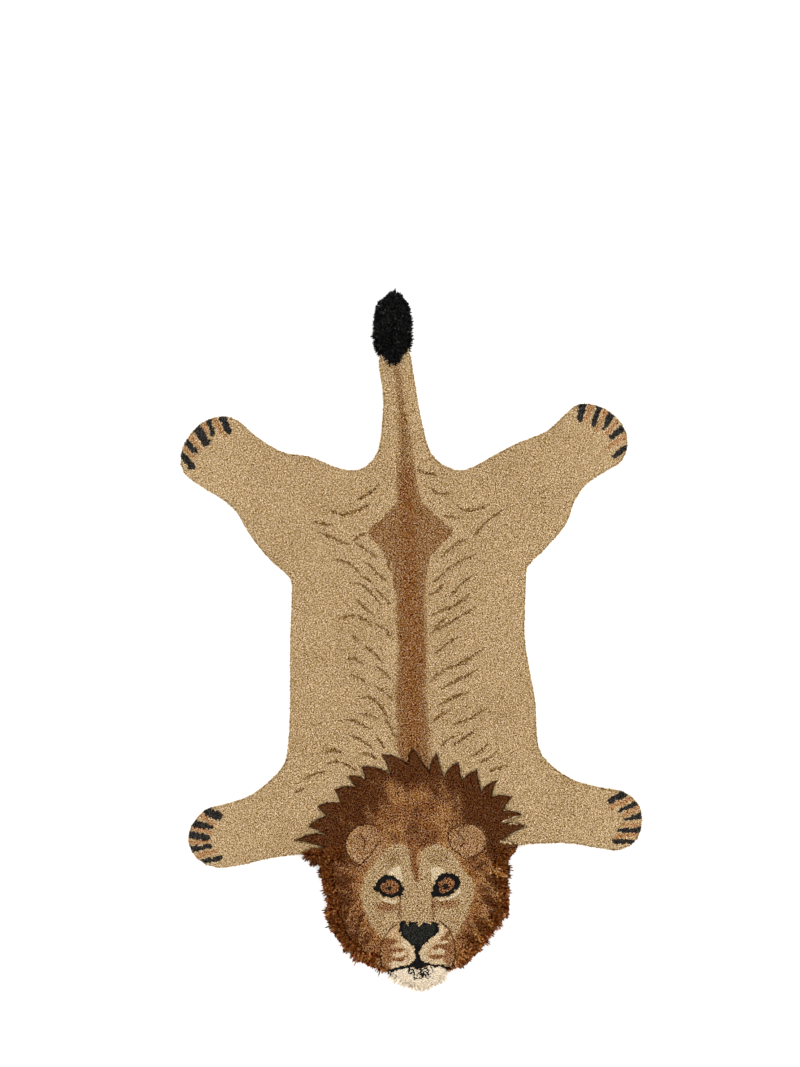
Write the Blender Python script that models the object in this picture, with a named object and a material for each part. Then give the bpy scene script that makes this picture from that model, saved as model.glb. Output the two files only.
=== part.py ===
"""A lion pelt rug for a child's room: a flat tufted rug cut to the shape of a lion's skin.

The rug lies on its back, tail towards +Y, chin towards -Y. It has three tufted areas, each a
closed solid: the flat, short cut pelt, the thicker head with its mane, and the shaggy end of the
tail. The mane's free edge and the tail's end carry loose locks of yarn. Metres, +Z up, with the
origin on the floor under the middle of the rug.
"""

import math
import random
from collections import namedtuple

import bmesh
import bpy
from mathutils import Matrix, Vector, geometry, noise

MM = 0.001

# Pile heights, backing cloth included
PELT_HEIGHT = 14 * MM
PELT_SHOULDER = 4 * MM
HEAD_HEIGHT = 17.5 * MM
HEAD_RIM_HEIGHT = 11 * MM
HEAD_SHOULDER = 10 * MM
TUFT_HEIGHT = 23 * MM
TUFT_RIM_HEIGHT = 11 * MM
TUFT_SHOULDER = 22 * MM

# The head and the tail's end are parted from the pelt by a hair's breadth
PARTING = 0.3 * MM
CUTTER_REACH = 5 * MM

# How finely outlines and lumpy tops are drawn
OUTLINE_STEP = 11 * MM
RIM_STEP = 7 * MM
HEAD_PITCH = 9 * MM
TUFT_PITCH = 7 * MM
SHOULDER_SEGMENTS = 2
CLEAR_OF_EDGE = 0.45
WELD = 0.01 * MM
LEVEL = 0.9
SHARPEST_CORNER = 0.3

# How far a leaf's upper and lower sides bow outwards, as shares of their length
LEAF_BULGE = 0.10
LEAF_HOLLOW = -0.04
LEAF_STEPS = (0, 0.33, 0.67)

# Sizes in mm: out from the line through the rug's middle, up from the end of the chin
Side = namedtuple("Side", "place left_out left_up right_out right_up")
PELT_OUTLINE = [
    Side("tail top", 31, 840, -4, 842),
    Side("tail end", 42, 824, 0, 828),
    Side("tail upper", 37, 785, 7, 784),
    Side("tail middle", 37, 750, 14, 745),
    Side("tail root", 44, 705, 26, 704),
    Side("rump hollow", 65, 683, 47, 686),
    Side("rump", 94, 684, 72, 682),
    Side("thigh", 132, 699, 114, 704),
    Side("thigh back", 168, 705, 142, 718),
    Side("hock", 203, 726, 177, 732),
    Side("hind paw heel", 226, 746, 198, 751),
    Side("hind toe 1", 247, 752, 220, 768),
    Side("hind toe 2", 274, 743, 251, 763),
    Side("hind toe 3", 293, 722, 275, 743),
    Side("hind toe 4", 301, 701, 283, 718),
    Side("hind toe 5", 297, 678, 276, 694),
    Side("hind sole", 274, 660, 251, 678),
    Side("hind ankle", 249, 645, 228, 662),
    Side("hind shin", 228, 627, 213, 640),
    Side("hind knee", 210, 596, 202, 610),
    Side("thigh front", 183, 563, 169, 572),
    Side("groin", 158, 540, 152, 555),
    Side("loin", 156, 512, 150, 525),
    Side("waist", 158, 453, 149, 459),
    Side("flank", 158, 381, 162, 381),
    Side("ribs", 161, 318, 166, 322),
    Side("armpit", 170, 291, 180, 299),
    Side("upper arm", 207, 258, 211, 277),
    Side("forearm", 243, 245, 251, 266),
    Side("fore paw heel", 270, 237, 276, 262),
    Side("fore toe 1", 287, 216, 296, 247),
    Side("fore toe 2", 291, 195, 302, 226),
    Side("fore toe 3", 279, 173, 296, 200),
    Side("fore toe 4", 254, 162, 274, 185),
    Side("wrist", 224, 165, 243, 188),
    Side("elbow", 185, 174, 202, 194),
    Side("shoulder", 139, 179, 143, 191),
    Side("breast", 90, 170, 90, 175),
]

# The mane's leaf shaped points over the pelt, from the left shoulder round to the right one
Leaf = namedtuple("Leaf", "tip_x tip_up hollow_x hollow_up")
MANE_LEAVES = [
    Leaf(-143, 181, -106, 186),
    Leaf(-150, 198, -111, 205),
    Leaf(-133, 216, -111, 229),
    Leaf(-122, 242, -92, 246),
    Leaf(-99, 264, -72, 267),
    Leaf(-82, 281, -59, 277),
    Leaf(-65, 294, -27, 284),
    Leaf(-38, 310, -3, 296),
    Leaf(3, 318, 24, 288),
    Leaf(34, 311, 43, 280),
    Leaf(62, 300, 67, 276),
    Leaf(86, 289, 92, 262),
    Leaf(111, 275, 105, 254),
    Leaf(131, 254, 120, 236),
    Leaf(147, 230, 120, 220),
    Leaf(149, 216, 118, 198),
    Leaf(140, 190, 137, 186),
]

# The free edge of the mane and chin, from the shoulders down, without its locks
HEAD_RIM = [
    Side("mane shoulder", 137, 175, 137, 186),
    Side("cheek top", 116, 161, 126, 169),
    Side("cheek", 116, 143, 126, 148),
    Side("jaw top", 109, 123, 127, 126),
    Side("jaw", 109, 99, 127, 107),
    Side("jaw turn", 103, 82, 119, 93),
    Side("jaw low", 91, 63, 103, 74),
    Side("beard top", 73, 45, 89, 54),
    Side("beard", 53, 34, 68, 36),
    Side("chin side", 31, 27, 47, 26),
    Side("chin low", 9, 12, 35, 13),
    Side("chin", -12, 6, 23, 5),
]

# The tail's shaggy end, from its tip down to the point that lies on the tail
Span = namedtuple("Span", "place left_x left_up right_x right_up")
TUFT_OUTLINE = [
    Span("tip", -23, 911, -18, 911),
    Span("upper", -35, 904, -11, 903),
    Span("shoulder", -41, 896, -6, 894),
    Span("side", -44, 883, -3, 878),
    Span("middle", -46, 864, -2, 861),
    Span("low side", -46, 849, -3, 849),
    Span("corner", -42, 837, -4, 841),
    Span("notch", -33, 829, -13, 831),
    Span("point", -25, 822, -16, 823),
]

# Loose locks of yarn on a free edge: the stretch between them, how far they reach, how thick
# they are at the root, and how high their two staggered rows start, as shares of the rim
Locks = namedtuple("Locks", "step reach radius low high turn")
MANE_LOCKS = Locks(5.4 * MM, 9 * MM, 2.4 * MM, 0.3, 0.72, 0.5)
CHIN_LOCKS = Locks(5.0 * MM, 4.5 * MM, 1.9 * MM, 0.3, 0.72, 0.3)
TUFT_LOCKS = Locks(5.2 * MM, 8 * MM, 2.3 * MM, 0.3, 0.75, 0.6)
CHIN_HALF_WIDTH = 36 * MM
CHIN_MIDDLE = 8 * MM
CHIN_TOP = 30 * MM
LOCK_ROOT = 4 * MM
LOCK_CLEAR = 0.5 * MM
LOCK_OFF_PELT = 2.8 * MM
LOCK_TAPER = (1.0, 0.8, 0.15)
LOCK_BEND = 0.45
UPPER_FALL = 0.35

# Lumps of the shag and of the face, which is cut smoother
LUMP_SIZE = 22 * MM
LUMP_HEIGHT = 3 * MM
FACE_SMOOTHNESS = 0.3
FACE_MIDDLE = Vector((9 * MM, 105 * MM))
FACE_RADII = Vector((62 * MM, 98 * MM))

Colour = namedtuple("Colour", "red green blue roughness")
TAN_YARN = Colour(0.58, 0.40, 0.19, 0.95)
MANE_YARN = Colour(0.20, 0.08, 0.03, 0.95)
BLACK_YARN = Colour(0.012, 0.012, 0.012, 0.9)


def clear_scene():
    """Remove every object that the file opened with."""
    for thing in list(bpy.data.objects):
        bpy.data.objects.remove(thing, do_unlink=True)


def new_collection(name):
    collection = bpy.data.collections.new(name)
    bpy.context.scene.collection.children.link(collection)
    return collection


def yarn(name, colour):
    """A dull woollen material."""
    material = bpy.data.materials.new(name)
    material.use_nodes = True
    shader = material.node_tree.nodes["Principled BSDF"]
    shader.inputs["Base Color"].default_value = (colour.red, colour.green, colour.blue, 1)
    shader.inputs["Roughness"].default_value = colour.roughness
    shader.inputs["Metallic"].default_value = 0
    return material


def spline(points, step, closed):
    """Points about a step apart on a smooth curve through the given ones."""
    count = len(points)
    spans = count if closed else count - 1
    line = []
    for i in range(spans):
        if closed:
            before, start, end, after = (points[(i + k - 1) % count] for k in range(4))
        else:
            before, start = points[max(i - 1, 0)], points[i]
            end, after = points[i + 1], points[min(i + 2, count - 1)]
        pieces = max(1, round((end - start).length / step))
        for k in range(pieces):
            t = k / pieces
            line.append(
                0.5
                * (
                    2 * start
                    + (end - before) * t
                    + (2 * before - 5 * start + 4 * end - after) * t**2
                    + (3 * start - before - 3 * end + after) * t**3
                )
            )
    if not closed:
        line.append(points[-1])
    return line


def outward_from(start, end):
    """The direction straight out of an anticlockwise outline's stretch."""
    along = (end - start).normalized()
    return Vector((along.y, -along.x))


def grown(outline, width):
    """An anticlockwise outline moved outwards by a width, with its corners kept sharp."""
    moved = []
    for i, here in enumerate(outline):
        out_back = outward_from(outline[i - 1], here)
        out_ahead = outward_from(here, outline[(i + 1) % len(outline)])
        middle = (out_back + out_ahead).normalized()
        share = max(middle.dot(out_back), SHARPEST_CORNER)
        moved.append(here + middle * (width / share))
    return moved


def distance(point, line, closed):
    """How far a point is from a line of points."""
    best = math.inf
    for i in range(0 if closed else 1, len(line)):
        nearest, share = geometry.intersect_point_line(point, line[i - 1], line[i])
        if share < 0:
            nearest = line[i - 1].to_3d()
        elif share > 1:
            nearest = line[i].to_3d()
        best = min(best, (nearest.to_2d() - point).length)
    return best


def inside(point, outline):
    """Whether a point is inside a closed outline."""
    within = False
    for i, b in enumerate(outline):
        a = outline[i - 1]
        if (a.y > point.y) != (b.y > point.y):
            if point.x < a.x + (point.y - a.y) / (b.y - a.y) * (b.x - a.x):
                within = not within
    return within


def leaf_side(start, end, bulge):
    """Points along a leaf's curved side, between its tip and a hollow, without the end."""
    along = end - start
    bow = outward_from(start, end) * (4 * bulge * along.length)
    return [start + along * t + bow * (t * (1 - t)) for t in LEAF_STEPS]


def spot(x, up):
    """A place on the rug from its table sizes."""
    return Vector((x, up)) * MM


def left_to_right(sides):
    """Down the left side of a table of sides, and up its right side."""
    down_left = [spot(-side.left_out, side.left_up) for side in sides]
    up_right = [spot(side.right_out, side.right_up) for side in reversed(sides)]
    return down_left + up_right


def right_to_left(spans):
    """Up the right side of the tail's end, and down its left side."""
    up_right = [spot(span.right_x, span.right_up) for span in reversed(spans)]
    down_left = [spot(span.left_x, span.left_up) for span in spans]
    return up_right + down_left


def pelt_outline():
    """The whole skin, anticlockwise: down the left side to the breast and up the right side."""
    return spline(left_to_right(PELT_OUTLINE), OUTLINE_STEP, closed=True)


def free_rim():
    """The head's free edge, from the left shoulder under the chin to the right shoulder."""
    return spline(left_to_right(HEAD_RIM), RIM_STEP, closed=False)


def head_outline():
    """The free edge, then the mane's leaves from right to left, each rounder on its upper side."""
    corners = []
    for leaf in reversed(MANE_LEAVES):
        corners += [spot(leaf.hollow_x, leaf.hollow_up), spot(leaf.tip_x, leaf.tip_up)]
    leaves = []
    for i in range(1, len(corners) - 1):
        start, end = corners[i], corners[i + 1]
        from_tip = i % 2 == 1
        tip = start if from_tip else end
        upper = from_tip == (tip.x > 0)
        leaves += leaf_side(start, end, LEAF_BULGE if upper else LEAF_HOLLOW)
    return free_rim() + leaves + corners[-1:]


def tuft_outline():
    """The tail's end, anticlockwise: up its right side and down its left side."""
    return spline(right_to_left(TUFT_OUTLINE), RIM_STEP, closed=True)


def tuft_rim():
    """The part of the tail's end that is free of the tail itself."""
    free = [span for span in TUFT_OUTLINE if span.place not in ("notch", "point")]
    return spline(right_to_left(free), RIM_STEP, closed=False)


def solid_from_curve(name, curve, height, collection):
    """The closed mesh that a curve draws at a height, with its caps welded on."""
    drawn = bpy.data.objects.new(name + "_line", curve)
    collection.objects.link(drawn)
    drawn.location.z = height
    bpy.context.view_layer.update()
    evaluated = drawn.evaluated_get(bpy.context.evaluated_depsgraph_get())
    solid = bpy.data.objects.new(name, bpy.data.meshes.new_from_object(evaluated))
    solid.matrix_world = drawn.matrix_world.copy()
    collection.objects.link(solid)
    bpy.data.objects.remove(drawn, do_unlink=True)
    shape = bmesh.new()
    shape.from_mesh(solid.data)
    bmesh.ops.remove_doubles(shape, verts=shape.verts, dist=WELD)
    bmesh.ops.recalc_face_normals(shape, faces=shape.faces)
    shape.to_mesh(solid.data)
    shape.free()
    return solid


def flat_solid(name, outline, bottom, top, collection):
    """A flat outline, drawn as a filled 2D curve, as a closed mesh between two heights."""
    curve = bpy.data.curves.new(name + "_line", "CURVE")
    curve.dimensions = "2D"
    curve.fill_mode = "BOTH"
    curve.extrude = (top - bottom) / 2
    line = curve.splines.new("POLY")
    line.points.add(len(outline) - 1)
    for point, place in zip(line.points, outline):
        point.co = (place.x, place.y, 0, 1)
    line.use_cyclic_u = True
    return solid_from_curve(name, curve, (top + bottom) / 2, collection)


def round_top(solid, width):
    """Round the top edge of a flat solid over a width."""
    shape = bmesh.new()
    shape.from_mesh(solid.data)
    for direction in (-1, 1):
        cap = [f for f in shape.faces if f.normal.z * direction > LEVEL]
        bmesh.ops.dissolve_faces(shape, faces=cap)
    lid = next(f for f in shape.faces if f.normal.z > LEVEL)
    bmesh.ops.bevel(
        shape,
        geom=lid.edges,
        offset=width,
        segments=SHOULDER_SEGMENTS,
        profile=0.5,
        affect="EDGES",
        clamp_overlap=False,
    )
    bmesh.ops.triangulate(shape, faces=shape.faces)
    shape.to_mesh(solid.data)
    shape.free()


def lump(point):
    """How far the shag's surface stands above or below its mean height."""
    return LUMP_HEIGHT * noise.noise(point.to_3d() / LUMP_SIZE)


def head_top(point, rim):
    """The head's height: full over the pelt, rounded down to the free edge, smooth on the face."""
    share = min(distance(point, rim, closed=False) / HEAD_SHOULDER, 1)
    crown = math.sqrt(1 - (1 - share) ** 2)
    from_face = point - FACE_MIDDLE
    on_face = (from_face.x / FACE_RADII.x) ** 2 + (from_face.y / FACE_RADII.y) ** 2 < 1
    lumpiness = (FACE_SMOOTHNESS if on_face else 1) * share
    height = HEAD_RIM_HEIGHT + (HEAD_HEIGHT - HEAD_RIM_HEIGHT) * crown
    return height + lump(point) * lumpiness


def tuft_top(point, rim):
    """The height of the tail's end: a long dome."""
    share = min(distance(point, rim, closed=False) / TUFT_SHOULDER, 1)
    crown = math.sqrt(1 - (1 - share) ** 2)
    height = TUFT_RIM_HEIGHT + (TUFT_HEIGHT - TUFT_RIM_HEIGHT) * crown
    return height + lump(point) * share


def spread_inside(outline, pitch):
    """Points in staggered rows inside an outline, clear of its edge."""
    low_x, high_x = min(p.x for p in outline), max(p.x for p in outline)
    low_y, high_y = min(p.y for p in outline), max(p.y for p in outline)
    row_gap = pitch * math.sqrt(0.75)
    found = []
    for row in range(int((high_y - low_y) / row_gap) + 1):
        y = low_y + (row + 0.5) * row_gap
        shift = pitch / 2 if row % 2 else 0
        for column in range(int((high_x - low_x) / pitch) + 1):
            point = Vector((low_x + shift + column * pitch, y))
            clear = distance(point, outline, closed=True) > pitch * CLEAR_OF_EDGE
            if clear and inside(point, outline):
                found.append(point)
    return found


def lumpy_solid(name, outline, rim, pitch, top_of, collection):
    """A solid with a flat underside, upright sides and a lumpy top of the given height."""
    count = len(outline)
    points = outline + spread_inside(outline, pitch)
    places, _, faces, _, _, _ = geometry.delaunay_2d_cdt(
        points, [], [list(range(count))], 1, WELD
    )
    shape = bmesh.new()
    top = [shape.verts.new((p.x, p.y, top_of(p, rim))) for p in places]
    for face in faces:
        shape.faces.new([top[i] for i in face])
    edge = [e for e in shape.edges if e.is_boundary]
    drawn = bmesh.ops.extrude_edge_only(shape, edges=edge)["geom"]
    foot = [g for g in drawn if isinstance(g, bmesh.types.BMVert)]
    for corner in foot:
        corner.co.z = 0
    loop = [e for e in shape.edges if e.verts[0] in foot and e.verts[1] in foot]
    bmesh.ops.contextual_create(shape, geom=loop)
    bmesh.ops.triangulate(shape, faces=[f for f in shape.faces if len(f.verts) > 3])
    bmesh.ops.recalc_face_normals(shape, faces=shape.faces)
    mesh = bpy.data.meshes.new(name)
    shape.to_mesh(mesh)
    shape.free()
    solid = bpy.data.objects.new(name, mesh)
    collection.objects.link(solid)
    return solid


def lock_line(place, outward, kind, row, rim_height, chance):
    """Root, middle and tip of one lock, which leaves the edge level and comes to rest low."""
    height = rim_height * (kind.high if row else kind.low)
    turn = chance.uniform(-kind.turn, kind.turn)
    way = outward.copy()
    way.rotate(Matrix.Rotation(turn, 2))
    reach = kind.reach * chance.uniform(0.75, 1)
    foot = LOCK_CLEAR + kind.radius * LOCK_TAPER[-1]
    fall = (height - foot) * (UPPER_FALL if row else 1)
    root = place - outward * LOCK_ROOT
    middle = place + way * (reach * LOCK_BEND)
    tip = place + way * reach
    return (*root, height), (*middle, height - fall * LOCK_BEND), (*tip, height - fall)


def clear_of_pelt(line, pelt):
    """Whether a lock stays off the skin beside it."""
    for place in line:
        flat = Vector(place[:2])
        if inside(flat, pelt) or distance(flat, pelt, closed=True) < LOCK_OFF_PELT:
            return False
    return True


def add_locks(solid, rim, kind_at, rim_height, collection):
    """Fuse two staggered rows of locks to a solid along its free edge."""
    chance = random.Random(11)
    pelt = pelt_outline()
    curve = bpy.data.curves.new(solid.name + "_locks", "CURVE")
    curve.dimensions = "3D"
    curve.bevel_depth = 1
    curve.bevel_resolution = 0
    curve.use_fill_caps = True
    along, row = 0, 0
    for start, end in zip(rim, rim[1:]):
        length = (end - start).length
        while along < length:
            place = start.lerp(end, along / length)
            kind = kind_at(place)
            line = lock_line(place, outward_from(start, end), kind, row, rim_height, chance)
            along += kind.step
            row = 1 - row
            if not clear_of_pelt(line, pelt):
                continue
            lock = curve.splines.new("POLY")
            lock.points.add(len(LOCK_TAPER) - 1)
            for point, place, taper in zip(lock.points, line, LOCK_TAPER):
                point.co = (*place, 1)
                point.radius = kind.radius * taper
        along -= length
    locks = solid_from_curve(solid.name + "_locks", curve, 0, collection)
    hide_helper(locks)
    combine(solid, locks, "UNION")


def hide_helper(thing):
    """Mark an object as a helper that isn't part of the rug."""
    thing.hide_render = True
    thing.display_type = "WIRE"


def combine(solid, other, how):
    """Join another closed mesh to a solid, or cut it away."""
    change = solid.modifiers.new(how.lower(), "BOOLEAN")
    change.operation = how
    change.solver = "EXACT"
    change.object = other


def cut_for(solid, name, outline, helpers):
    """Part a solid from a neighbour with the given outline."""
    cutter = flat_solid(
        name, grown(outline, PARTING), -CUTTER_REACH, PELT_HEIGHT + CUTTER_REACH, helpers
    )
    hide_helper(cutter)
    combine(solid, cutter, "DIFFERENCE")


def lock_kind(place):
    """The chin's locks are shorter and finer than the mane's."""
    on_chin = abs(place.x - CHIN_MIDDLE) < CHIN_HALF_WIDTH and place.y < CHIN_TOP
    return CHIN_LOCKS if on_chin else MANE_LOCKS


def make_pelt(rug, helpers):
    """The flat, short cut skin, with the head's and the tail end's places cut out of it."""
    pelt = flat_solid("pelt", pelt_outline(), 0, PELT_HEIGHT, rug)
    round_top(pelt, PELT_SHOULDER)
    cut_for(pelt, "head_cutter", head_outline(), helpers)
    cut_for(pelt, "tail_cutter", tuft_outline(), helpers)
    pelt.data.materials.append(yarn("tan_yarn", TAN_YARN))
    return pelt


def make_head(rug, helpers):
    """The head and its mane, with locks along the free edge."""
    rim = free_rim()
    head = lumpy_solid("head_and_mane", head_outline(), rim, HEAD_PITCH, head_top, rug)
    add_locks(head, rim, lock_kind, HEAD_RIM_HEIGHT, helpers)
    head.data.materials.append(yarn("mane_yarn", MANE_YARN))
    return head


def make_tail_tuft(rug, helpers):
    """The shaggy black end of the tail."""
    rim = tuft_rim()
    tuft = lumpy_solid("tail_tuft", tuft_outline(), rim, TUFT_PITCH, tuft_top, rug)
    add_locks(tuft, rim, lambda place: TUFT_LOCKS, TUFT_RIM_HEIGHT, helpers)
    tuft.data.materials.append(yarn("black_yarn", BLACK_YARN))
    return tuft


def centre(solids, helpers):
    """Move the rug so that the middle of its underside is at the origin."""
    bpy.context.view_layer.update()
    graph = bpy.context.evaluated_depsgraph_get()
    corners = []
    for solid in solids:
        evaluated = solid.evaluated_get(graph)
        corners += [solid.matrix_world @ v.co for v in evaluated.data.vertices]
    middle_x = (min(c.x for c in corners) + max(c.x for c in corners)) / 2
    middle_y = (min(c.y for c in corners) + max(c.y for c in corners)) / 2
    for thing in [*solids, *helpers.objects]:
        thing.location.x -= middle_x
        thing.location.y -= middle_y


def main():
    clear_scene()
    rug = new_collection("lion_shaped_kids_rug")
    helpers = new_collection("cutters")
    solids = [make_pelt(rug, helpers), make_head(rug, helpers), make_tail_tuft(rug, helpers)]
    centre(solids, helpers)


main()
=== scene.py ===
"""Looks of the lion shaped rug: cut wool pile in mottled yarns, a shaggy mane, a shaggy black
tail end and a cloth backing.

Tables are in millimetres, as in the part's source: right of the line from chin to tail, and up
from the chin. Every tuft of yarn is a small mesh strand with its own colour, darkened towards its
root as painted shade and lightened at its tip as painted light.
"""

import bpy
import math
import numpy as np
from collections import namedtuple
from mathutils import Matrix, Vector
from mathutils.bvhtree import BVHTree
from mathutils.geometry import delaunay_2d_cdt
from mathutils.kdtree import KDTree


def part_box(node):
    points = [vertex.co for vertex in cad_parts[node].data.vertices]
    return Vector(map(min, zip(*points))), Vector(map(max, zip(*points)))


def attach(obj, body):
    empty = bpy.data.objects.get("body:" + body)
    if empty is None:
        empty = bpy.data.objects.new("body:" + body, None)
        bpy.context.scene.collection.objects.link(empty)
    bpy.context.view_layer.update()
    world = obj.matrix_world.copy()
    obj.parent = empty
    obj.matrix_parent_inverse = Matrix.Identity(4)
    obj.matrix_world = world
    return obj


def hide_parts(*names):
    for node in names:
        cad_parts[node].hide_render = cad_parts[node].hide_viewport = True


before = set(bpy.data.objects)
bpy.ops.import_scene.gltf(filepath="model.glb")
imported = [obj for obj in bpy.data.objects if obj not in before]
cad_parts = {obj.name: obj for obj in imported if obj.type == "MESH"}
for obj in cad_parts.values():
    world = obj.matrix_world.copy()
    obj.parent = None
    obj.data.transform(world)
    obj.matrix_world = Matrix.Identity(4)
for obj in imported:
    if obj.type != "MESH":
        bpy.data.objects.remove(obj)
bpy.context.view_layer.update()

# ---- Where the tables lie in the row frame ----
TOP_LEAF_UP = 318.0  # the mane's top point
LINE_RIGHT = 0.5  # the rug's middle is this far right of the tables' line
CHIN_UP = TOP_LEAF_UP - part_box("head_and_mane")[1].y * 1000
TABLE_ZERO = np.array([LINE_RIGHT, CHIN_UP, 0.0])

# ---- Steps and limits ----
TINY = 1e-9  # instead of nothing, to divide by
ON_FLOOR = 0.01
LEAST_LOOP = 20  # points of an outline
ABOVE_ALL = 100.0  # where rays start downward
AT_ONCE = 3000  # points, to save memory
CURVE_STEPS = 5  # between two points of a table
NOISE_CELLS = 64
EDGE_FINE = 0.5  # between the points that the way to the edge is measured to

# ---- Pile ----
PELT_PITCH = 1.86  # between tufts of cut pile
HEAD_PITCH = 1.7
SHAG_PITCH = 2.0
TAIL_PITCH = 1.8
JITTER = 0.2  # of the pitch
STIR = 0.4  # of a tuft's tip
END_ACROSS = 0.76  # half of a cut end, as a share of the pitch
END_LONG = 1.22  # a cut end is longer one way by this and shorter the other way
END_DOME = 1.0  # from a cut end's rim to its tip
TUFT_DEPTH = 7.0  # of an inner tuft, below its tip
EDGE_STEP = 1.7  # between tufts along an edge
EDGE_INSET = 1.1  # of the edge tufts' middles
EDGE_BELOW = 0.5  # the pile beside them
EDGE_CLEAR = 1.4  # inner tufts stay this far from the edge
ROOT_UP = 0.8
BED_PITCH = 4.0
BED_SHARE = 0.62  # of the pile's height
BED_CLEAR = 1.6
# Share of the yarn colour left on the bed: painted shade deep in the pile.
BED_PAINTED_SHADE = 0.5
WAVE = 0.9  # of the pile's height, over a hand's breadth
WAVE_SIZE = 26.0
ROUGH = 0.32  # of the pile's height, from tuft to tuft
# Share of the tail's points painted grey: painted highlights on the black locks.
GREY_GLINTS = 0.15  # of the tail's end
TAIL_FRINGE = 5.0  # past the tail end's own outline
TAIL_TIP = (-21.0, 900.0)  # the one loose end at its top, right and up
TAIL_STEP = 0.7  # between the locks along its edge
FRINGE_STEP = 0.55  # between the loose hairs along the head's free rim
# A strand has four points from its root to its tip, and a ring at each but the tip. Its points
# lie out by shares of its reach and up by shares of its height, less what they lie down by. Its
# radius varies within its spread, and by a share at each ring. Its colour is multiplied by its
# shades at the four points, which darken the root as painted shade and lighten the tip as painted
# light.
Kind = namedtuple("Kind", "out up spread rings shades radius down even", defaults=(1.0, 0.0, 0.0))
EDGE = Kind(
    (-0.5, 0.2, 0.85, 1), (0.06, 0.5, 0.9, 1), (0.85, 1.2), (0.9, 1.05, 1), (0.9, 0.95, 1, 1.08),
    radius=1.15,
)
FRINGE = Kind((0, 0.35, 0.75, 1), (0.4, 0.85, 1, 0.8), (0.8, 1.2), (1, 1.1, 0.9), (0.8, 0.95, 1.05, 1.1))
LOCK = Kind((0, 0.4, 0.8, 1), (0.3, 0.75, 0.97, 0.9), (0.9, 1.4), (1.2, 1.2, 1), (0.7, 0.85, 1, 1.25))
SHAG = Kind(
    (0, 0.3, 0.85, 1), (1, 1, 1, 1), (1, 1.4), (1, 1.2, 1.05), (0.65, 1, 1.3, 1.45),
    down=(8.0, 3.6, 0.8, 0.16), even=0.35,
)
SIDES = 4  # of a strand and of a cut end
RING = [(side, (side + 1) % SIDES) for side in range(SIDES)]
FLATNESS = 0.72
MAP_REACH = 0.66  # of a strand in its cell of the map
# Shares of a ply's colour at a cut end's rim, tip and root: painted shade on the rim and down the sides to
# the root, and painted light on the tip.
RIM_PAINTED_SHADE = 0.86  # of a cut end's rim, for the colour of its plies
TIP_PAINTED_LIGHT = 1.1
ROOT_PAINTED_SHADE = 0.35

# ---- Yarns, in sRGB as they look under the lamps ----
YARNS = {
    "tan": (183, 157, 119), "tan_light": (200, 175, 137), "tan_shade": (126, 96, 57),
    "spine": (136, 95, 55), "spine_edge": (138, 102, 65), "rump": (142, 107, 70),
    "tail_stripe": (141, 108, 70), "mane_dark": (84, 47, 18), "mane_mid": (127, 82, 41),
    "mane_light": (159, 116, 68), "mane_rim": (138, 82, 42), "ear": (157, 120, 80),
    "ear_inside": (136, 98, 62), "face": (172, 146, 107), "brow_shade": (140, 110, 70),
    "muzzle": (188, 157, 118), "brown_streak": (128, 84, 47), "cream": (207, 188, 156),
    "chin": (226, 210, 186), "toe_gap": (172, 128, 88), "claw": (45, 43, 42), "nose": (40, 40, 36),
    "iris": (127, 83, 45), "black": (25, 24, 24),
}
PLY_GRAIN = 96.0  # how far a ply may differ from its yarn's colour, in sRGB levels
PATCH = 3.4  # over which the grain evens out
LEVEL = 0.6  # how much of it does
PATCH_ROW = 4096  # patches in a row of them, at most
# Grain grows with a yarn's brightness, in levels.
GRAIN_FROM = 15.0
GRAIN_FULL_AT = 75.0
LEAST_GRAIN = 0.1
LIGHTEST = 255.0
DARKEST = 2.0
LEAST_LIGHT = 0.001
CURVE = 1.2 * 1.4 / 1.055**2  # half of the sRGB curve's bend
RAGGED = 3.2  # how far the edges of colours wander from tuft to tuft
RAGGED_SIZE = 2.6

# ---- The pelt's markings ----
# Spine: up, right, half of its dark middle, half with its lighter sides.
SPINE = (
    (828, -19, 2, 3.3), (817, -18.3, 2.9, 4.7), (793, -15.7, 3.9, 6), (767, -12.4, 4.7, 7.9),
    (734, -9.2, 5.8, 10.5), (702, -7.2, 7.3, 11.8), (677, -6.5, 8.2, 13.1), (652, -5.2, 9.4, 14.4),
    (599, -3.3, 11.1, 18.3), (544, -2, 11.1, 20.9), (512, -0.7, 11.1, 19.6), (446, 2, 11.8, 19.6),
    (399, 0, 11.1, 20.3), (334, 2.6, 10.5, 22.2), (302, 3.9, 10.5, 22.2),
)
# A closed outline, as right and up in turn.
RUMP_PATCH = (
    -13, 645, -8, 658, 3, 658, 9, 649, 24, 630, 47, 610, 54, 599, 39, 584, 26, 567, 20, 543, 16, 522,
    -20, 522, -24, 554, -39, 578, -55, 601, -37, 620,
)
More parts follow.
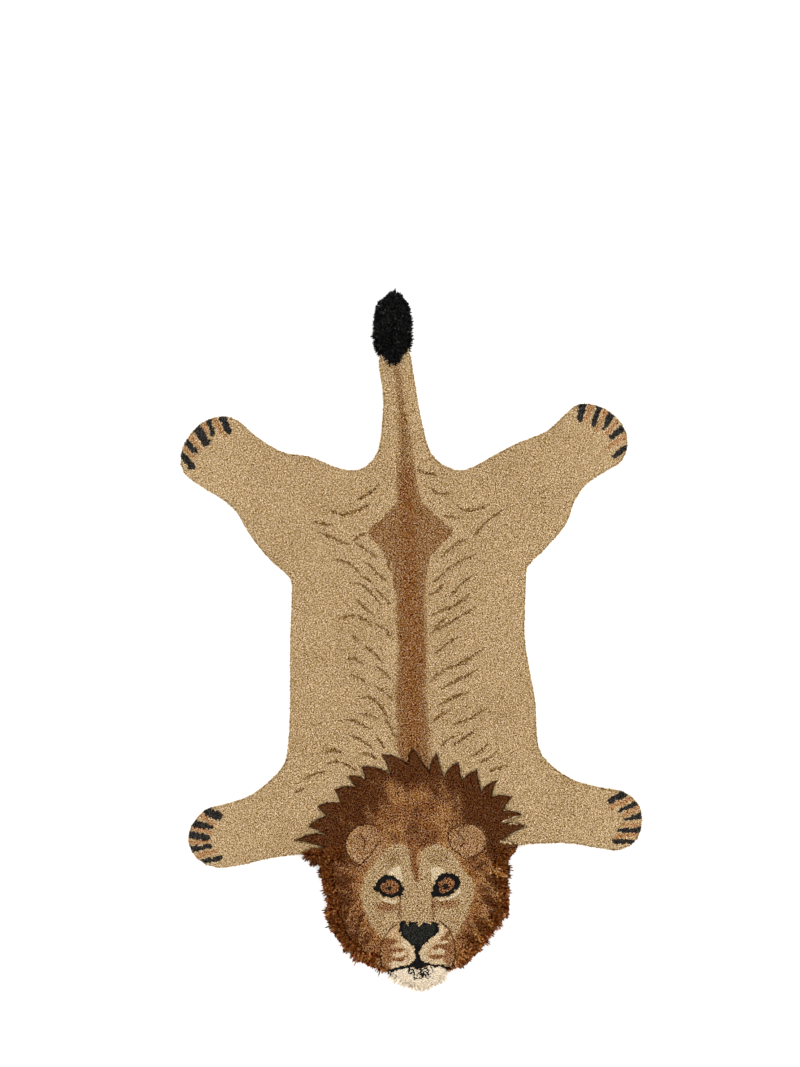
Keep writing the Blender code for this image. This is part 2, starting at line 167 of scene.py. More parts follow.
# Strokes: from, through and to, each right and up.
PELT_STROKES = (
    (-40, 663, -56, 650, -74, 642), (-112, 630, -85, 624, -52, 637), (-129, 614, -115, 612, -100, 610),
    (-124, 602, -100, 592, -78, 582), (-56, 600, -67, 596, -78, 586), (-72, 586, -52, 573, -43, 564),
    (-101, 566, -78, 557, -67, 546), (-67, 545, -56, 538, -47, 530), (-63, 565, -48, 551, -31, 535),
    (-82, 535, -61, 530, -37, 504), (-50, 530, -39, 519, -25, 504), (-73, 514, -61, 502, -50, 494),
    (-96, 486, -85, 490, -72, 493), (-72, 492, -61, 487, -50, 477), (-47, 482, -36, 475, -22, 460),
    (-35, 573, -30, 560, -24, 545), (6, 682, 20, 677, 36, 676), (24, 660, 38, 650, 53, 652),
    (59, 632, 78, 629, 102, 635), (41, 623, 52, 620, 65, 619), (125, 633, 104, 618, 80, 594),
    (77, 593, 61, 586, 37, 567), (87, 573, 59, 559, 26, 533), (82, 545, 65, 532, 49, 514),
    (46, 535, 35, 524, 22, 519), (80, 524, 63, 508, 26, 492), (85, 504, 61, 488, 30, 471),
    (46, 488, 36, 480, 25, 466), (-78, 465, -73, 462, -67, 457), (-61, 453, -48, 442, -35, 428),
    (-87, 435, -74, 435, -59, 427), (-50, 427, -37, 419, -25, 407), (-79, 414, -68, 410, -58, 405),
    (-48, 401, -35, 392, -23, 380), (-72, 385, -48, 382, -29, 356), (-69, 364, -56, 362, -42, 357),
    (-96, 354, -78, 355, -51, 342), (-35, 358, -27, 347, -22, 332), (-85, 336, -69, 331, -50, 318),
    (-44, 332, -39, 325, -34, 317), (-114, 312, -101, 315, -88, 312), (-69, 312, -56, 310, -43, 304),
    (-110, 298, -93, 300, -70, 288), (-142, 277, -128, 284, -112, 288), (-153, 259, -146, 263, -139, 266),
    (61, 465, 44, 452, 29, 441), (98, 451, 78, 437, 54, 423), (76, 430, 43, 420, 22, 402),
    (88, 421, 63, 408, 37, 396), (79, 392, 61, 387, 35, 375), (52, 369, 38, 361, 24, 349),
    (99, 371, 82, 360, 54, 347), (85, 343, 70, 332, 54, 321), (62, 336, 49, 330, 36, 317),
    (103, 325, 87, 312, 74, 306), (114, 314, 102, 306, 88, 298), (128, 295, 115, 293, 102, 287),
)
STROKE_HALF = 1.6
STROKE_DEPTH = 1.5
TAIL_FROM = (670, 710)  # where the spine turns into the tail's stripe
# Claws and the brown between the toes: outer end, inner end, half widths there.
CLAWS = (
    (-246, 748, -238, 733, 4.3, 3.9), (-264, 747, -259, 727, 3.6, 2), (-281, 738, -268, 718, 5.2, 5.6),
    (-296, 720, -281, 706, 4.3, 2.9), (-300, 702, -286, 687, 3.9, 4.6), (224, 766, 221, 747, 4.9, 3.3),
    (246, 764, 238, 740, 4.3, 2), (262, 754, 252, 736, 4.6, 2.3), (277, 737, 262, 725, 3.9, 2.9),
    (282, 712, 266, 700, 3.3, 2.9), (-266, 236, -253, 230, 5.2, 5.9), (-283, 220, -262, 215, 4.9, 3.3),
    (-290, 206, -268, 201, 3.9, 4.3), (-289, 186, -263, 190, 3.9, 2.9), (-274, 169, -249, 175, 3.3, 2.6),
    (279, 260, 260, 249, 4.6, 3.3), (292, 245, 272, 236, 3.6, 1.6), (299, 230, 280, 225, 3.3, 1.6),
    (299, 211, 272, 211, 3.6, 2.3), (292, 196, 266, 197, 2.6, 2.9),
)
TOE_GAPS = (
    (-256, 747, -244, 727, 2.6, 2.6), (-272, 743, -266, 730, 2.6, 2), (-288, 726, -276, 710, 2, 2),
    (-296, 710, -284, 699, 2, 2), (235, 766, 229, 745, 2.6, 2.6), (254, 758, 242, 734, 2.6, 2.3),
    (270, 745, 254, 728, 2.3, 2), (279, 725, 256, 710, 2.6, 2), (-274, 230, -256, 218, 2.3, 2),
    (-285, 213, -259, 208, 2, 2), (-288, 196, -266, 196, 2.3, 2), (-280, 177, -256, 184, 2.9, 2.3),
    (288, 253, 259, 240, 2.6, 2.6), (298, 241, 276, 230, 2.3, 2), (298, 219, 277, 218, 2.3, 2),
    (295, 205, 267, 203, 2.6, 2.3),
)

# ---- The head's markings: closed outlines, as right and up in turn ----
FACE = (
    -27, 190, -43, 174, -59, 152, -65, 128, -60, 105, -49, 84, -37, 68, -37, 33, 10, 28, 53, 33, 56, 68,
    68, 89, 80, 122, 80, 144, 65, 164, 53, 183, 34, 192, 20, 188, 12, 180, 10, 163, 8, 146, 5, 152, 1, 172,
    -5, 187, -14, 193,
)
# Ears: middle right and up, half across and half up, and the way in which they fade out.
EARS = ((-58, 192, 27, 26, 0.8, 0.6), (73, 198, 26, 22, -0.6, 0.8))
# Darker parts of the ears and the face: middle right and up, half across and half up, share.
EAR_HOLLOWS = ((-63, 196, 9, 11, 0.4), (66, 197, 9, 11, 0.4))
BROW_SHADES = ((-24, 174, 16, 12, 0.6), (36, 176, 17, 12, 0.5))
CHEEK_SHADES = (
    (-33, 111, 17, 8, 0.8), (46, 116, 20, 8, 0.7), (-42, 92, 10, 16, 0.2), (-15, 108, 4, 18, 0.45),
    (29, 110, 4, 18, 0.45), (56, 92, 9, 14, 0.15),
)
# Each eye: its outline, its iris and its pupil.
LEFT_EYE = (
    (-48, 137, -41, 147, -34, 152, -25, 151, -17, 147, -12, 140, -9, 134, -12, 128, -14, 121, -18, 125,
     -26, 123, -35, 125, -43, 131),
    (-41, 138, -35, 143, -28, 146, -20, 144, -16, 139, -16, 134, -20, 129, -26, 128, -34, 130, -39, 134),
    (-33, 135, -29, 137, -25, 137, -24, 135, -28, 133),
)
RIGHT_EYE = (
    (29, 134, 32, 142, 35, 149, 41, 154, 49, 155, 58, 152, 64, 143, 59, 135, 52, 128, 44, 125, 35, 125,
     29, 125, 27, 128),
    (35, 137, 36, 143, 41, 147, 49, 149, 56, 147, 58, 143, 55, 137, 49, 131, 42, 129, 36, 132),
    (40, 137, 43, 142, 48, 141, 49, 137, 45, 134),
)
LEFT_BROW = (-30, 153, -28, 159, -20, 164, -14, 164, -13, 156, -11, 146, -14, 144, -19, 149, -25, 153)
RIGHT_BROW = (28, 144, 26, 155, 26, 162, 34, 164, 41, 162, 43, 158, 37, 153, 32, 147)
LEFT_LID = (-38, 124, -32, 122, -23, 120, -16, 120, -22, 116, -31, 116, -37, 119)
RIGHT_LID = (34, 122, 43, 122, 52, 125, 59, 132, 64, 137, 65, 131, 58, 124, 49, 120, 40, 119)
NOSE = (
    -14, 90, -8, 92, -4, 86, -1, 91, 8, 90, 10, 85, 17, 91, 23, 89, 32, 93, 36, 83, 32, 74, 23, 66, 16, 61,
    11, 57, 5, 60, -2, 64, -11, 72, -15, 81,
)
LIP_STEM = (5, 62, 12, 62, 11, 52, 12, 46, 17, 39, 22, 36, 10, 30, -2, 34, 4, 40, 5, 51)
LEFT_MUZZLE = (
    -16, 88, -22, 86, -31, 78, -37, 68, -39, 54, -38, 38, -31, 30, -17, 33, -2, 38, 4, 44, 4, 57, -5, 66,
    -14, 75,
)
RIGHT_MUZZLE = (
    37, 88, 44, 86, 52, 80, 56, 68, 57, 54, 55, 42, 49, 33, 34, 35, 19, 39, 13, 45, 13, 57, 22, 64, 34, 74,
)
LEFT_CREAM = (-13, 70, -5, 66, 4, 56, 4, 43, -6, 36, -25, 31, -22, 38, -4, 43, -2, 52, -10, 59)
RIGHT_CREAM = (
    38, 86, 30, 72, 22, 64, 13, 56, 13, 44, 22, 39, 46, 35, 40, 42, 22, 42, 20, 52, 27, 62, 34, 68, 44, 82,
)
CHIN = (
    -34, 26, -17, 30, -2, 33, 10, 28, 23, 33, 46, 30, 49, 20, 43, 2, 34, -8, 24, -14, 10, -18, -8, -12,
    -24, -1, -36, 13,
)
# How far the chin's loose hair reaches.
CHIN_HAIR = (
    -32, 27, -32, 19, -26, 14, -18, 9, -10, 5, 1, 2, 12, -1, 18, -2, 23, 1, 29, 6, 37, 9, 43, 13, 47, 18,
    46, 27, 10, 40,
)
# Strokes, brown on the muzzle and cream between: from, through and to, and half their width.
WHISKER_STREAKS = (
    (-38, 65, -28, 66, -18, 66, 3.8), (-36, 54, -22, 55, -8, 56, 2.3), (-26, 43, -14, 42, -4, 48, 1.5),
    (37, 67, 46, 72, 52, 80, 3), (28, 58, 42, 59, 57, 61, 3), (22, 46, 34, 46, 44, 46, 2.4),
)
WHISKER_GAPS = (
    (-25, 47, -17, 48, -8, 49, 2.8), (-30, 36, -22, 36, -12, 37, 2), (28, 52, 36, 53, 45, 53, 2.3),
    (33, 62, 40, 65, 48, 66, 1.5),
)
MOUTH = (-38, 25, -29, 28, -14, 31, -4, 33, 5, 38, 18, 38, 28, 35, 44, 33, 51, 30)
MOUTH_HALF = 1.8
BEARD_SPECKLE = (12, 27, 17, 11)  # middle right and up, half across and half up
# Grooves cut with shears, as open lines.
NOSE_GROOVES = ((-14, 120, -15, 110, -16, 96), (28, 125, 28, 110, 31, 98))
MUZZLE_GROOVES = (
    (-18, 88, -25, 84, -34, 73, -38, 66, -40, 50, -38, 32), (38, 92, 50, 81, 56, 66, 58, 51, 53, 32),
)
EAR_GROOVES = (
    (-46, 217, -58, 219, -74, 214, -85, 199, -83, 180, -76, 167, -68, 164),
    (66, 178, 54, 188, 48, 203, 56, 215, 73, 220, 90, 214, 99, 198, 90, 181, 74, 175),
    (-66, 206, -60, 196, -62, 186), (60, 208, 69, 198, 64, 187), (-68, 164, -54, 178, -42, 196),
)
# The wedge between the brows and the light curls of the cheek, as such strokes.
BROW_WEDGE = (2, 194, 4, 168, 8, 144, 4)
CHEEK_CURLS = (
    (94, 166, 98, 160, 104, 158, 1.3), (101, 163, 105, 156, 111, 155, 1.3),
    (107, 159, 113, 152, 118, 150, 1.3),
)
# Light locks beside the face and the painted shadows under them, as such strokes too.
MANE_LOCKS = (
    (86, 182, 104, 167, 121, 149, 3), (88, 156, 102, 139, 115, 116, 4.2),
    (84, 128, 95, 108, 102, 86, 4.6), (76, 98, 84, 80, 90, 60, 3), (-66, 122, -77, 108, -83, 90, 2),
    (-56, 92, -64, 76, -68, 60, 2),
)
MANE_LOCK_SHADOWS = (
    (96, 154, 106, 144, 115, 136, 2.6), (100, 126, 106, 118, 113, 111, 2.4),
    (94, 92, 97, 80, 98, 68, 2.4), (-60, 106, -68, 92, -72, 76, 2.6),
)
GROOVE_HALF = 1.1
GROOVE_DEPTH = 2.4
DEEP = 0.65
SHALLOW = 0.35
# The pelt's tan between two leaves on the right.
TAN_TONGUES = (
    (119, 223, 133, 229, 148, 231, 148, 220, 133, 219),
    (116, 197, 128, 201, 140, 201, 140, 193, 128, 193),
)
FACE_MIDDLE = (9.0, 118.0)
CROWN = (6.0, 198.0, 66.0, 82.0)  # the mane's lighter top, as an oval
CROWN_TOP = 288.0
# How light the mane is beside the face, by height, and how far out that reaches
HALO_UP = (40, 60, 95, 120, 150, 200)
HALO_SHARE = (0.6, 1.0, 0.9, 1.2, 1.35, 1.2)
HALO_REACH = 16.0
STREAK_TURN = 70.0  # how wide streaks are about the face
RIM_BELOW = 172.0  # the mane's free rim is below this height
MANE_SIDES_BELOW = 188.0  # and so is its long shag

# ---- Backing, wool and cotton ----
BACKING_THICK = 1.2
BACKING_GROW = 0.25
BACKING_STEP = 2.5
MERGE = 1e-6  # points closer than this are one
COTTON_DARK = (150, 132, 104)
COTTON_LIGHT = (226, 214, 190)
WOOL = (0.92, 0.28)  # roughness and flecks
BLACK_WOOL = (0.8, 0.3)
FIBRES_PER_METRE = (2800.0, 2800.0, 300.0)
SHEEN = 0.01
COTTON_ROUGH = 0.92

# ---- Stage ----
MM_PER_PIXEL = 1.30868
PHOTO_SIZE = (800, 1067)
LINE_PIXEL = 411  # the tables' line in the photo
CHIN_PIXEL = 991
CAMERA_UP = 8.0
SENSOR = 36.0
FLOOR_SIZE = 14
FLOOR_AT = -0.0005
# Name, place, size and power.
LAMPS = (("key", (1.6, 1.2, 3.2), 2.0, 48.0), ("fill", (-1.8, -0.8, 3.0), 2.4, 26.0))
SKY_POWER = 1.4
CLIP_END = 40


def place(points):
    """Table millimetres as metres in the row frame."""
    return (points - TABLE_ZERO) / 1000


def sides_of(triangles):
    """The sides of all triangles, each from one corner to the next."""
    sides = np.concatenate([triangles[:, [0, 1]], triangles[:, [1, 2]], triangles[:, [2, 0]]])
    return [tuple(side) for side in sides.tolist()]


def loops_of(points, triangles):
    """The outlines of the faces that lie on the floor, as arrays of right and up."""
    flat = (points[triangles][:, :, 2] < ON_FLOOR).all(1)
    spots, same = np.unique(points.round(3), axis=0, return_inverse=True)
    used = set(sides_of(same.reshape(-1)[triangles[flat]]))
    follow = {b: a for a, b in used if (b, a) not in used}
    loops = []
    while follow:
        start, here = follow.popitem()
        loop = [start]
        while here != start and here in follow:
            loop.append(here)
            here = follow.pop(here)
        if len(loop) > LEAST_LOOP:
            loops.append(spots[loop][:, :2])
    return loops


def within(points, loop):
    """Whether each point is inside a closed outline."""
    found = np.zeros(len(points), bool)
    near = np.flatnonzero(((points >= loop.min(0)) & (points <= loop.max(0))).all(1))
    (left, low), (right, high) = loop.T, np.roll(loop, -1, axis=0).T
    slope = (right - left) / np.where(high == low, TINY, high - low)
    for part in np.array_split(near, max(1, len(near) // AT_ONCE)):
        x, y = points[part].T[..., None]
        crossed = ((low > y) != (high > y)) & (x < left + (y - low) * slope)
        found[part] = crossed.sum(1) % 2 == 1
    return found


def smooth(points, closed=True):
    """A Catmull-Rom curve through points, given as right and up in turn."""
    p = np.array(points, float).reshape(-1, 2)
    ends = (p[-1:], p[:2]) if closed else (2 * p[0] - p[1], 2 * p[-1] - p[-2])
    p = np.vstack([ends[0], p, ends[1]])
    before, here, after, beyond = p[:-3], p[1:-2], p[2:-1], p[3:]
    t = np.arange(CURVE_STEPS)[:, None, None] / CURVE_STEPS
    curve = 0.5 * (
        2 * here
        + (after - before) * t
        + (2 * before - 5 * here + 4 * after - beyond) * t**2
        + (3 * here - before - 3 * after + beyond) * t**3
    )
    curve = curve.transpose(1, 0, 2).reshape(-1, 2)
    return curve if closed else np.vstack([curve, p[-2]])


def near_line(points, line, reach):
    """How far each point is from an open line, up to reach, and its share of the way along."""
    line = np.array(line, float).reshape(-1, 2)
    best, along = np.full(len(points), np.inf), np.zeros(len(points))
    low, high = line.min(0) - reach, line.max(0) + reach
    near = np.flatnonzero(((points >= low) & (points <= high)).all(1))
    lengths = np.linalg.norm(np.diff(line, axis=0), axis=1)
    starts = np.concatenate([[0], np.cumsum(lengths)])
    for i, length in enumerate(lengths):
        side = line[i + 1] - line[i]
        off = points[near] - line[i]
        t = np.clip((off @ side) / (length * length), 0, 1)
        away = np.linalg.norm(off - t[:, None] * side, axis=1)
        closer = away < best[near]
        best[near[closer]] = away[closer]
        along[near[closer]] = (starts[i] + t[closer] * length) / starts[-1]
    return best, along


def ramp(values, low, high):
    """0 below low, 1 above high, and smooth between."""
    t = np.clip((values - low) / (high - low), 0, 1)
    return t * t * (3 - 2 * t)


def drift(points, size, seed):
    """Smooth noise from 0 to 1 over the plane, with lumps about size across."""
    table = np.random.default_rng(seed).random((NOISE_CELLS, NOISE_CELLS))
    cell = np.floor(points / size).astype(int)
    s, t = ramp(points / size - cell, 0, 1).T
    (i, j), (right, above) = cell.T % NOISE_CELLS, (cell.T + 1) % NOISE_CELLS
    low = table[i, j] * (1 - s) + table[right, j] * s
    high = table[i, above] * (1 - s) + table[right, above] * s
    return low * (1 - t) + high * t


def unit(ways):
    return ways / np.maximum(np.linalg.norm(ways, axis=-1), TINY)[..., None]


def evenly(loop, step):
    """Points a step apart round a closed outline, and the way out at each."""
    closed = np.vstack([loop, loop[:1]])
    lengths = np.linalg.norm(np.diff(closed, axis=0), axis=1)
    along = np.concatenate([[0], np.cumsum(lengths)])
    at = np.linspace(0, along[-1], max(3, int(along[-1] / step)), endpoint=False)
    spots = np.column_stack([np.interp(at, along, row) for row in closed.T])
    ways = unit(np.roll(spots, -1, axis=0) - np.roll(spots, 1, axis=0))
    turn = np.sign(np.cross(closed[:-1], closed[1:]).sum())
    return spots, ways[:, ::-1] * (turn, -turn)


class Layer:
    """One CAD node as a bed for pile: its outline, its top and its edge."""

    def __init__(self, name):
        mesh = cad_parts[name].data
        mesh.calc_loop_triangles()
        points = np.empty(len(mesh.vertices) * 3)
        mesh.vertices.foreach_get("co", points)
        points = points.reshape(-1, 3) * 1000 + TABLE_ZERO
        triangles = np.empty(len(mesh.loop_triangles) * 3, np.int32)
        mesh.loop_triangles.foreach_get("vertices", triangles)
        triangles = triangles.reshape(-1, 3)
        self.loops = loops_of(points, triangles)
        self.tree = BVHTree.FromPolygons(points.tolist(), triangles.tolist())
        self.edge, self.out = self.rim(EDGE_FINE)
        self.near = KDTree(len(self.edge))
        for i, spot in enumerate(self.edge):
            self.near.insert((*spot, 0), i)
        self.near.balance()

    def rim(self, step):
        """Points a step apart round the outlines, and the way out at each."""
        rows = [evenly(loop, step) for loop in self.loops]
        return [np.vstack(row) for row in zip(*rows)]

    def holds(self, points):
        return np.logical_xor.reduce([within(points, loop) for loop in self.loops])

    def from_edge(self, points):
        """How far each point is from the edge, and the way out there."""
        found = [self.near.find((*p, 0)) for p in points.tolist()]
        away = np.array([f[2] for f in found])
        return away, self.out[[f[1] for f in found]]

    def top(self, points):
        """How high the layer is at each point."""
        down = Vector((0, 0, -1))
        hits = [self.tree.ray_cast(Vector((*p, ABOVE_ALL)), down)[0] for p in points.tolist()]
        return np.array([hit.z if hit else 0.0 for hit in hits])


def grid(layer, pitch):
    """Spots a pitch apart over a layer's box, in rows that are staggered."""
    low, high = layer.edge.min(0), layer.edge.max(0)
    rows = np.arange(low[1], high[1], pitch * math.sqrt(0.75))
    x, y = np.meshgrid(np.arange(low[0], high[0] + pitch, pitch), rows)
    x[1::2] += pitch / 2
    return np.stack([x, y], axis=2)


def sites(layer, pitch, rng, clear=EDGE_CLEAR):
    """Scattered spots on a layer, about a pitch apart and clear of its edge."""
    spots = grid(layer, pitch).reshape(-1, 2)
    spots = spots + rng.uniform(-JITTER, JITTER, spots.shape) * pitch
    spots = spots[layer.holds(spots)]
    return spots[layer.from_edge(spots)[0] > clear]


# ---- Colours ----
def linear(colour):
    c = np.array(colour, float) / 255
    return np.where(c <= 0.04045, c / 12.92, ((c + 0.055) / 1.055) ** 2.4)


def into(points, outline, reach):
    """How far each point lies inside a closed outline, down to -reach outside it."""
    closed = smooth(outline)
    away = near_line(points, np.vstack([closed, closed[:1]]), reach)[0]
    return np.where(within(points, closed), away, -np.minimum(away, reach))


def levelled(values, points):
    """Values that differ within a small patch of the plane but hardly from patch to patch."""
    for shift in (0, PATCH / 2):
        cell = np.floor((points + shift) / PATCH).astype(int)
        patch = np.unique(cell @ (1, PATCH_ROW), return_inverse=True)[1].reshape(-1)
        mean = np.bincount(patch, values) / np.bincount(patch)
        values = values - LEVEL * mean[patch]
    return values


def oval(points, row):
    """0 in the middle of an oval and 1 on its edge."""
    return np.hypot(*((points - row[:2]) / row[2:4]).T)


class Paint:
    """The colour of each bit of yarn, how even it is, and how far it is cut down."""

    def __init__(self, points, yarn, rng):
        self.points, self.rng = points, rng
        self.colour = np.tile(np.array(YARNS[yarn], float), (len(points), 1))
        self.cut, self.even = np.zeros((2, len(points)))
        shift = [drift(points, RAGGED_SIZE, seed) - 0.5 for seed in (31, 32)]
        self.ragged = points + np.stack(shift, axis=1) * RAGGED

    def blend(self, share, yarn):
        """Mixes a yarn in, by a share from 0 to 1 at each point."""
        share = np.clip(np.broadcast_to(share, len(self.points)), 0, 1)[:, None]
        self.colour += (np.array(YARNS[yarn]) - self.colour) * share

    def area(self, outline, yarn, share=1.0, grown=1.0, even=0.0):
        closed = smooth(outline)
        self.even[within(self.points, closed) & (even > 0)] = even
        closed = closed.mean(0) + (closed - closed.mean(0)) * grown
        self.blend(within(self.ragged, closed) * share, yarn)

    def strokes(self, rows, yarn, share=0.95, cut=0.0):
        """Tapered strokes from, through and to three spots. A row may end with half a width."""
        for row in rows:
            half = (*row, STROKE_HALF)[6]
            away, along = near_line(self.ragged, smooth(row[:6], closed=False), 2 * half)
            wide = half * (1.1 - (2 * along - 1) ** 4) * self.rng.uniform(0.75, 1.3, len(away))
            self.blend(share * (away < wide), yarn)
            self.cut = np.maximum(self.cut, cut * (away < wide))

    def grooves(self, lines, share):
        """Shorn lines."""
        for line in lines:
            away = near_line(self.points, smooth(line, closed=False), 3)[0]
            shorn = share * (away < GROOVE_HALF)
            self.blend(shorn, "mane_dark")
            self.cut = np.maximum(self.cut, GROOVE_DEPTH * shorn)

    def marks(self, rows, yarn, share):
        """Tapered blunt marks between two spots."""
        for row in rows:
            away, along = near_line(self.ragged, row[:4], 8)
            wide = 1.1 * (row[4] + (row[5] - row[4]) * along)
            wide = wide * self.rng.uniform(0.85, 1.15, len(away))
            self.blend((away < wide) * share, yarn)

    def colours(self):
        """Linear colours with the grain of single plies, which leaves the mean as it was."""
        strength = (self.colour.mean(1) - GRAIN_FROM) / (GRAIN_FULL_AT - GRAIN_FROM)
        strength = (np.clip(strength, LEAST_GRAIN, 1) * (1 - self.even))[:, None]
        grain = levelled(self.rng.uniform(-PLY_GRAIN, PLY_GRAIN, len(self.points)), self.points)
        grain = np.minimum(grain[:, None] * strength, LIGHTEST - self.colour.max(1)[:, None])
        grained = linear(np.maximum(self.colour + grain, DARKEST))
        spread = strength * PLY_GRAIN / 255 / math.sqrt(3)
        gain = CURVE * ((self.colour / 255 + 0.055) / 1.055) ** 0.4 * spread**2
        return np.maximum(grained - gain, LEAST_LIGHT)


def paint_pelt(points, rng):
    """Mottled tan with a dark spine, the rump's patch, strokes, toes and claws."""
    paint = Paint(points, "tan", rng)
    right, up = points.T
    paint.blend(0.3 * ramp(np.abs(right), 190, 270) + 0.5 * ramp(up, 815, 835), "tan_light")
    paint.blend(0.15 * (drift(points, 40, 5) - 0.3), "tan_shade")
    paint.strokes(PELT_STROKES, "tan_shade", 0.85, STROKE_DEPTH)
    at, *rows = np.array(SPINE[::-1]).T
    middle, dark, wide = (np.interp(up, at, row) for row in rows)
    off = np.abs(right - middle + (drift(points, 14, 3) - 0.5) * 2)
    off += rng.normal(0, 1.2, len(points))
    on_tail = ramp(up, *TAIL_FROM)
    paint.blend((1 - ramp(off, wide - 5, wide + 3)) * (1 - 0.75 * on_tail), "spine_edge")
    paint.area(RUMP_PATCH, "rump", 0.95)
    core = 1 - ramp(off, dark - 5, dark + 4)
    paint.blend(core * (1 - on_tail), "spine")
    paint.blend(core * on_tail, "tail_stripe")
    paint.marks(TOE_GAPS, "toe_gap", 0.85)
    paint.marks(CLAWS, "claw", 0.97)
    return paint


def paint_mane(points, layer, rng):
    """The mane's browns: dark at its points and its rim, lighter on the crown and by the face,
    in streaks that run out from the face."""
    paint = Paint(points, "mane_dark", rng)
    up = points[:, 1]
    x, y = (points - FACE_MIDDLE).T
    polar = np.column_stack([np.arctan2(y, x) * STREAK_TURN, np.hypot(x, y) / 4])
    streaks = 0.6 * drift(polar, 7, 11) - 0.5 + 0.4 * drift(polar, 3, 13)
    crown = 1 - ramp(oval(points, CROWN) - 1.1 * streaks, 0.5, 1.25)
    crown *= ramp(CROWN_TOP - up, 0, 25)
    halo = np.exp(into(points, FACE, 60).clip(-60, 0) / HALO_REACH)
    halo = np.interp(up, HALO_UP, HALO_SHARE) * halo + 1.1 * streaks
    paint.blend(np.maximum(crown, ramp(halo, 0.15, 0.65)), "mane_mid")
    paint.blend(0.9 * ramp(halo, 0.6, 1.3), "mane_light")
    paint.blend(0.7 * crown * ramp(drift(points, 15, 12) + 0.5 * streaks, 0.4, 0.9), "mane_light")
    paint.blend(0.5 * crown * ramp(-streaks, 0.05, 0.4), "mane_dark")
    paint.strokes(MANE_LOCKS, "mane_light", 0.6)
    # Dark brown strokes under the light locks: painted shadows.
    paint.strokes(MANE_LOCK_SHADOWS, "mane_dark", 0.85)
    edge = layer.from_edge(points)[0]
    free = ramp(RIM_BELOW - up, 0, 90) * (1 - ramp(edge, 2, 10))
    paint.blend(0.9 * free * ramp(drift(points, 5, 21), 0.35, 0.75), "mane_rim")
    return paint


def paint_head(points, layer, rng):
    """The mane, and over it the ears, the face and its markings, each over the last."""
    paint = paint_mane(points, layer, rng)
    right, up = points.T
    for row in EARS:
        inward = (right - row[0]) / row[2] * row[4] + (up - row[1]) / row[3] * row[5]
        paint.blend((oval(paint.ragged, row) < 1) * (1 - 0.6 * ramp(inward, 0.4, 1.0)), "ear")
    for row in EAR_HOLLOWS:
        paint.blend(row[4] * (1 - ramp(oval(points, row), 0.5, 1.1)), "ear_inside")
    paint.grooves(EAR_GROOVES, DEEP)
    in_face = ramp(into(points, FACE, 20) + rng.normal(0, 0.8, len(points)), -2.5, 2.0)
    paint.blend(in_face, "face")
    for rows, yarn in ((BROW_SHADES, "brow_shade"), (CHEEK_SHADES, "brown_streak")):
        for row in rows:
            paint.blend(in_face * row[4] * (1 - ramp(oval(points, row), 0.3, 1.2)), yarn)
    outer = ramp(np.abs(right - FACE_MIDDLE[0]), 29, 38) * ramp(72 - up, 0, 6)
    for outline in (LEFT_MUZZLE, RIGHT_MUZZLE):
        inside = within(paint.ragged, smooth(outline))
        paint.blend(inside, "muzzle")
        paint.even[inside] = 0.2
        paint.blend(0.75 * outer * inside, "brown_streak")
    for outline in (LEFT_CREAM, RIGHT_CREAM):
        paint.blend(0.9 * ramp(into(paint.ragged, outline, 8), -2.5, 2.5), "cream")
    paint.strokes(WHISKER_STREAKS, "brown_streak")
    paint.strokes(WHISKER_GAPS, "cream")
    paint.grooves(NOSE_GROOVES, SHALLOW)
    paint.grooves(MUZZLE_GROOVES, DEEP)
    for outline in (LEFT_BROW, RIGHT_BROW, LEFT_LID, RIGHT_LID):
        paint.area(outline, "cream", 0.97, even=0.3)
    paint.area(CHIN, "chin", even=0.5)
    paint.strokes([BROW_WEDGE], "mane_mid", 0.9)
    for outline in TAN_TONGUES:
        paint.area(outline, "tan")
    paint.strokes(CHEEK_CURLS, "mane_light")
    speckled = drift(points, 1.6, 33) > 0.35 + 0.25 * oval(points, BEARD_SPECKLE) ** 2
    paint.blend((oval(paint.ragged, BEARD_SPECKLE) < 1) & speckled, "black")
    away = near_line(paint.ragged, smooth(MOUTH, closed=False), 4)[0]
    paint.blend(away < MOUTH_HALF, "black")
    paint.area(LIP_STEM, "black")
    paint.area(NOSE, "black")
    paint.area(NOSE, "nose", grown=0.85)
    for eye, iris, pupil in (LEFT_EYE, RIGHT_EYE):
        paint.area(eye, "black", grown=1.03)
        paint.area(iris, "iris", grown=0.97)
        paint.area(pupil, "black", 0.9)
    return paint


# ---- Meshes ----
def add(name, data):
    """A new object in the scene."""
    made = bpy.data.objects.new(name, data)
    bpy.context.scene.collection.objects.link(made)
    return made


def piece_from(name, points, loops, totals, soft=True):
    """A piece from its points, its faces' corners and the number of corners of each face."""
    mesh = bpy.data.meshes.new(name)
    points = place(points.reshape(-1, 3))
    mesh.vertices.add(len(points))
    mesh.vertices.foreach_set("co", points.astype(np.float32).ravel())
    mesh.loops.add(len(loops))
    mesh.loops.foreach_set("vertex_index", loops.astype(np.int32))
    mesh.polygons.add(len(totals))
    mesh.polygons.foreach_set("loop_start", (np.cumsum(totals) - totals).astype(np.int32))
    mesh.polygons.foreach_set("use_smooth", np.full(len(totals), soft))
    mesh.update(calc_edges=True)
    return add(name, mesh)


def fill_colours(piece, shades, domain="POINT"):
    layer = piece.data.color_attributes.new("yarn", "FLOAT_COLOR", domain)
    rgba = np.insert(shades.reshape(-1, 3), 3, 1.0, axis=1)
    layer.data.foreach_set("color", rgba.astype(np.float32).ravel())


